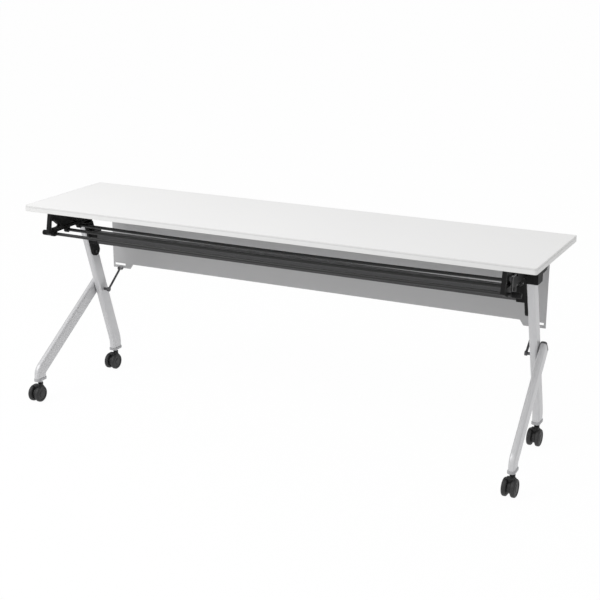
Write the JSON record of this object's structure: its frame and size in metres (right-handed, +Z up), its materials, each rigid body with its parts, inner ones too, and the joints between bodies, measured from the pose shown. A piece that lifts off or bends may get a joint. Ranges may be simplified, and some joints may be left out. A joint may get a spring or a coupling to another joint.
{
  "type": "flip top training table",
  "caption": "White flip-top training table on silver crossed-tube legs with swivel casters, under-top rod shelf and a folding grey modesty panel.",
  "frame": {"origin": "on the floor, under the middle of the box that holds the whole table", "axes": "X along the table, right as seen by the user; Y from the user's edge to the back; Z up"},
  "size_m": [1.8, 0.508, 0.7],
  "materials": {
    "white_laminate": "satin white laminate face",
    "edge_plastic": "pale plastic edge band",
    "silver_paint": "fine silver-grey powder paint",
    "grey_plastic": "grey moulded plastic",
    "black_plastic": "black moulded plastic",
    "black_paint": "satin black paint",
    "beam_paint": "dark grey paint",
    "panel_paint": "mid grey powder paint",
    "wheel_plastic": "dark grey nylon",
    "steel": "plain zinc-plated steel"
  },
  "bodies": {
    "frame": {"main_tube_left": "silver_paint", "front_tube_left": "silver_paint", "leg_joint_left": "silver_paint", "front_tube_cap_left": "grey_plastic", "leg_head_left": "black_plastic", "pivot_pin_left": "steel", "beam_bracket_left": "black_plastic", "stay_peg_left": "steel", "caster_socket_front_left": "grey_plastic", "caster_socket_rear_left": "grey_plastic", "main_tube_right": "silver_paint", "front_tube_right": "silver_paint", "leg_joint_right": "silver_paint", "front_tube_cap_right": "grey_plastic", "leg_head_right": "black_plastic", "pivot_pin_right": "steel", "beam_bracket_right": "black_plastic", "stay_peg_right": "steel", "caster_socket_front_right": "grey_plastic", "caster_socket_rear_right": "grey_plastic", "crossbeam": "beam_paint"},
    "top": {"table_top": "white_laminate", "edge_band": "edge_plastic", "arm_left": "black_plastic", "arm_right": "black_plastic", "shelf_rod_middle": "black_paint", "shelf_rod_rear": "black_paint", "hinge_leaf_left": "steel", "hinge_leaf_right": "steel", "hinge_pin_left": "steel", "hinge_pin_right": "steel"},
    "panel": {"modesty_panel": "panel_paint"},
    "stay_left": {"stay_rod_left": "steel"},
    "stay_right": {"stay_rod_right": "steel"},
    "release": {"release_bar": "black_paint", "release_grip_left": "black_plastic", "release_grip_right": "black_plastic"},
    "lock_left": {"lock_rod_left": "steel"},
    "lock_right": {"lock_rod_right": "steel"},
    "caster_front_left": {"caster_stem_front_left": "steel", "caster_hood_front_left": "wheel_plastic", "caster_axle_front_left": "steel"},
    "wheel_front_left_left": {"wheel_front_left_left": "wheel_plastic"},
    "wheel_front_left_right": {"wheel_front_left_right": "wheel_plastic"},
    "caster_front_right": {"caster_stem_front_right": "steel", "caster_hood_front_right": "wheel_plastic", "caster_axle_front_right": "steel"},
    "wheel_front_right_left": {"wheel_front_right_left": "wheel_plastic"},
    "wheel_front_right_right": {"wheel_front_right_right": "wheel_plastic"},
    "caster_rear_left": {"caster_stem_rear_left": "steel", "caster_hood_rear_left": "wheel_plastic", "caster_axle_rear_left": "steel"},
    "wheel_rear_left_left": {"wheel_rear_left_left": "wheel_plastic"},
    "wheel_rear_left_right": {"wheel_rear_left_right": "wheel_plastic"},
    "caster_rear_right": {"caster_stem_rear_right": "steel", "caster_hood_rear_right": "wheel_plastic", "caster_axle_rear_right": "steel"},
    "wheel_rear_right_left": {"wheel_rear_right_left": "wheel_plastic"},
    "wheel_rear_right_right": {"wheel_rear_right_right": "wheel_plastic"}
  },
  "joints": [
    {"name": "top_flip", "type": "hinge", "parent": "frame", "child": "top", "pos_m": [0, 0.102, 0.636], "axis": [-1, 0, 0], "range_deg": [0, 90]},
    {"name": "panel_fold", "type": "hinge", "parent": "top", "child": "panel", "pos_m": [0, 0.222, 0.664], "axis": [1, 0, 0], "range_deg": [0, 106]},
    {"name": "stay_left_swing", "type": "hinge", "parent": "panel", "child": "stay_left", "pos_m": [-0.7925, 0.209, 0.392], "axis": [-1, 0, 0], "range_deg": [0, 107]},
    {"name": "stay_right_swing", "type": "hinge", "parent": "panel", "child": "stay_right", "pos_m": [0.7925, 0.209, 0.392], "axis": [-1, 0, 0], "range_deg": [0, 107]},
    {"name": "lock_left_slide", "type": "slide", "parent": "top", "child": "lock_left", "axis": [0, -1, 0], "range_m": [0, 0.00975], "stiffness_N_per_m": 300},
    {"name": "lock_right_slide", "type": "slide", "parent": "top", "child": "lock_right", "axis": [0, -1, 0], "range_m": [0, 0.01], "stiffness_N_per_m": 300},
    {"name": "release_turn", "type": "hinge", "parent": "top", "child": "release", "pos_m": [0, -0.163, 0.604], "axis": [1, 0, 0], "range_deg": [0, 12]},
    {"name": "caster_front_left_swivel", "type": "hinge", "parent": "frame", "child": "caster_front_left", "pos_m": [-0.866, -0.205, 0.072], "axis": [0, 0, 1], "continuous": true},
    {"name": "wheel_front_left_left_roll", "type": "hinge", "parent": "caster_front_left", "child": "wheel_front_left_left", "pos_m": [-0.866, -0.225, 0.029], "axis": [1, 0, 0], "continuous": true},
    {"name": "wheel_front_left_right_roll", "type": "hinge", "parent": "caster_front_left", "child": "wheel_front_left_right", "pos_m": [-0.866, -0.225, 0.029], "axis": [1, 0, 0], "continuous": true},
    {"name": "caster_front_right_swivel", "type": "hinge", "parent": "frame", "child": "caster_front_right", "pos_m": [0.866, -0.205, 0.072], "axis": [0, 0, 1], "continuous": true},
    {"name": "wheel_front_right_left_roll", "type": "hinge", "parent": "caster_front_right", "child": "wheel_front_right_left", "pos_m": [0.866, -0.225, 0.029], "axis": [1, 0, 0], "continuous": true},
    {"name": "wheel_front_right_right_roll", "type": "hinge", "parent": "caster_front_right", "child": "wheel_front_right_right", "pos_m": [0.866, -0.225, 0.029], "axis": [1, 0, 0], "continuous": true},
    {"name": "caster_rear_left_swivel", "type": "hinge", "parent": "frame", "child": "caster_rear_left", "pos_m": [-0.823, 0.204, 0.072], "axis": [0, 0, 1], "continuous": true},
    {"name": "wheel_rear_left_left_roll", "type": "hinge", "parent": "caster_rear_left", "child": "wheel_rear_left_left", "pos_m": [-0.823, 0.184, 0.029], "axis": [1, 0, 0], "continuous": true},
    {"name": "wheel_rear_left_right_roll", "type": "hinge", "parent": "caster_rear_left", "child": "wheel_rear_left_right", "pos_m": [-0.823, 0.184, 0.029], "axis": [1, 0, 0], "continuous": true},
    {"name": "caster_rear_right_swivel", "type": "hinge", "parent": "frame", "child": "caster_rear_right", "pos_m": [0.823, 0.204, 0.072], "axis": [0, 0, 1], "continuous": true},
    {"name": "wheel_rear_right_left_roll", "type": "hinge", "parent": "caster_rear_right", "child": "wheel_rear_right_left", "pos_m": [0.823, 0.184, 0.029], "axis": [1, 0, 0], "continuous": true},
    {"name": "wheel_rear_right_right_roll", "type": "hinge", "parent": "caster_rear_right", "child": "wheel_rear_right_right", "pos_m": [0.823, 0.184, 0.029], "axis": [1, 0, 0], "continuous": true}
  ],
  "couplings": [
    {"joint": "panel_fold", "follows": "top_flip", "ratio": 1.1755},
    {"joint": "stay_left_swing", "follows": "top_flip", "ratio": 1.183},
    {"joint": "stay_right_swing", "follows": "top_flip", "ratio": 1.183},
    {"joint": "lock_right_slide", "follows": "lock_left_slide", "ratio": 1},
    {"joint": "release_turn", "follows": "lock_left_slide", "rad_per_m": 20.41}
  ]
}
